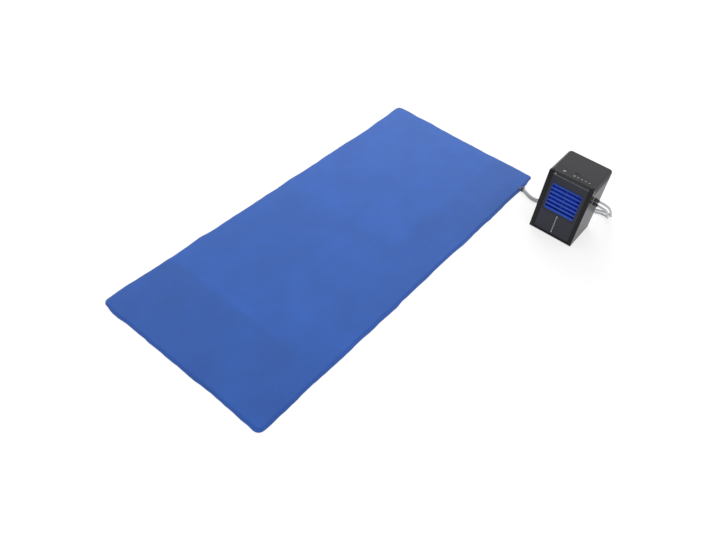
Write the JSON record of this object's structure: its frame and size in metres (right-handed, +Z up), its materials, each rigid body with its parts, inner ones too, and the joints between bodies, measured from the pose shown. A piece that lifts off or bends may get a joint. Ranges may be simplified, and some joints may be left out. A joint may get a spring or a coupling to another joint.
{
  "type": "water-cooled mattress pad with cooler unit",
  "caption": "Thin water-cooled mattress pad joined by twin hoses to a small boxy cooler with louvre grille, fill lid, level window, buttons, fan, wick and pump.",
  "frame": {"origin": "centre of the pad's underside, on the surface the pad and the unit lie on", "axes": "+X across the pad towards the side where the hoses leave, +Y along the pad towards the hoses' end, +Z up"},
  "size_m": [1.0676, 1.6132, 0.272],
  "materials": {
    "pad_fabric": "matt woven fabric, smooth",
    "pad_foam": "matt open-cell foam",
    "clear_tube": "soft translucent tube",
    "hose_grey": "satin flexible tube",
    "gland_black": "satin moulded plastic",
    "case_dark": "smooth dark grey, low gloss",
    "frame_black": "smooth black, low gloss",
    "panel_dark": "satin dark grey",
    "blue_plastic": "satin blue moulding",
    "base_black": "satin black moulding",
    "overlay_film": "satin printed film",
    "button_grey": "satin light grey",
    "board_green": "solder mask",
    "switch_black": "matt",
    "pin_steel": "bright drawn steel",
    "rubber_black": "matt rubber",
    "coupling_black": "satin black",
    "latch_grey": "satin dark grey",
    "port_black": "satin black",
    "tank_white": "translucent milky plastic",
    "plug_grey": "firm rubber",
    "clear_sight": "clear moulded tube",
    "trim_grey": "satin light grey",
    "lens_white": "milky light pipe",
    "float_white": "white",
    "wick_paper": "pleated wick paper, dyed blue",
    "wick_blue": "satin",
    "fan_black": "satin black",
    "inner_tube": "translucent tube",
    "pump_grey": "satin",
    "impeller_white": "matt"
  },
  "bodies": {
    "unit_and_pad": {"base_tray": "base_black", "blue_grille": "blue_plastic", "button_switches": "switch_black", "case_screws": "pin_steel", "control_board": "board_green", "control_overlay": "overlay_film", "drip_bar": "inner_tube", "evaporative_wick": "wick_paper", "fan_bulkhead": "base_black", "fan_frame": "fan_black", "fan_screws": "pin_steel", "front_frame": "frame_black", "front_panel": "panel_dark", "housing_shell": "case_dark", "indicator_lens": "lens_white", "pad_bottom_cover": "pad_fabric", "pad_core": "pad_foam", "pad_hose_gland": "gland_black", "pad_top_cover": "pad_fabric", "pad_water_tube": "clear_tube", "panel_trim": "trim_grey", "port_nuts": "port_black", "port_seals": "rubber_black", "power_inlet": "port_black", "pump_body": "pump_grey", "pump_cover": "pump_grey", "rear_grille": "base_black", "return_coupling": "coupling_black", "return_hose": "hose_grey", "return_port": "port_black", "return_tube": "inner_tube", "rubber_feet": "rubber_black", "sight_tube": "clear_sight", "supply_coupling": "coupling_black", "supply_hose": "hose_grey", "supply_port": "port_black", "supply_riser": "inner_tube", "top_deck": "case_dark", "water_tank": "tank_white", "wick_frame": "wick_blue"},
    "fill_lid": {"top_lid": "case_dark", "lid_hinge_pins": "pin_steel"},
    "fan": {"fan_rotor": "fan_black"},
    "pump": {"pump_impeller": "impeller_white"},
    "supply_release": {"supply_latch": "latch_grey"},
    "return_release": {"return_latch": "latch_grey"},
    "float": {"level_float": "float_white"},
    "drain": {"drain_plug": "plug_grey"},
    "power_button": {"power_button": "button_grey"},
    "cool_button": {"cool_button": "button_grey"},
    "timer_button": {"timer_button": "button_grey"},
    "fan_button": {"fan_button": "button_grey"},
    "minus_button": {"minus_button": "button_grey"},
    "plus_button": {"plus_button": "button_grey"}
  },
  "joints": [
    {"name": "lid_hinge", "type": "hinge", "parent": "unit_and_pad", "child": "fill_lid", "pos_m": [0.5655, 0.68255, 0.26855], "axis": [-1, 0, 0], "range_deg": [0, 95]},
    {"name": "fan_spin", "type": "hinge", "parent": "unit_and_pad", "child": "fan", "pos_m": [0.5655, 0.57405, 0.164], "axis": [0, 1, 0], "continuous": true},
    {"name": "pump_spin", "type": "hinge", "parent": "unit_and_pad", "child": "pump", "pos_m": [0.616, 0.569, 0.024], "axis": [0, 1, 0], "continuous": true},
    {"name": "float_rise", "type": "slide", "parent": "unit_and_pad", "child": "float", "axis": [0, 0, 1], "range_m": [0, 0.077]},
    {"name": "drain_pull", "type": "slide", "parent": "unit_and_pad", "child": "drain", "axis": [0, 1, 0], "range_m": [0, 0.014]},
    {"name": "supply_release_press", "type": "slide", "parent": "unit_and_pad", "child": "supply_release", "axis": [0, 0, -1], "range_m": [0, 0.001], "stiffness_N_per_m": 400},
    {"name": "return_release_press", "type": "slide", "parent": "unit_and_pad", "child": "return_release", "axis": [0, 0, -1], "range_m": [0, 0.001], "stiffness_N_per_m": 400},
    {"name": "power_button_press", "type": "slide", "parent": "unit_and_pad", "child": "power_button", "axis": [0, 0, -1], "range_m": [0, 0.0007], "stiffness_N_per_m": 300},
    {"name": "cool_button_press", "type": "slide", "parent": "unit_and_pad", "child": "cool_button", "axis": [0, 0, -1], "range_m": [0, 0.0007], "stiffness_N_per_m": 300},
    {"name": "timer_button_press", "type": "slide", "parent": "unit_and_pad", "child": "timer_button", "axis": [0, 0, -1], "range_m": [0, 0.0007], "stiffness_N_per_m": 300},
    {"name": "fan_button_press", "type": "slide", "parent": "unit_and_pad", "child": "fan_button", "axis": [0, 0, -1], "range_m": [0, 0.0007], "stiffness_N_per_m": 300},
    {"name": "minus_button_press", "type": "slide", "parent": "unit_and_pad", "child": "minus_button", "axis": [0, 0, -1], "range_m": [0, 0.0007], "stiffness_N_per_m": 300},
    {"name": "plus_button_press", "type": "slide", "parent": "unit_and_pad", "child": "plus_button", "axis": [0, 0, -1], "range_m": [0, 0.0007], "stiffness_N_per_m": 300}
  ]
}
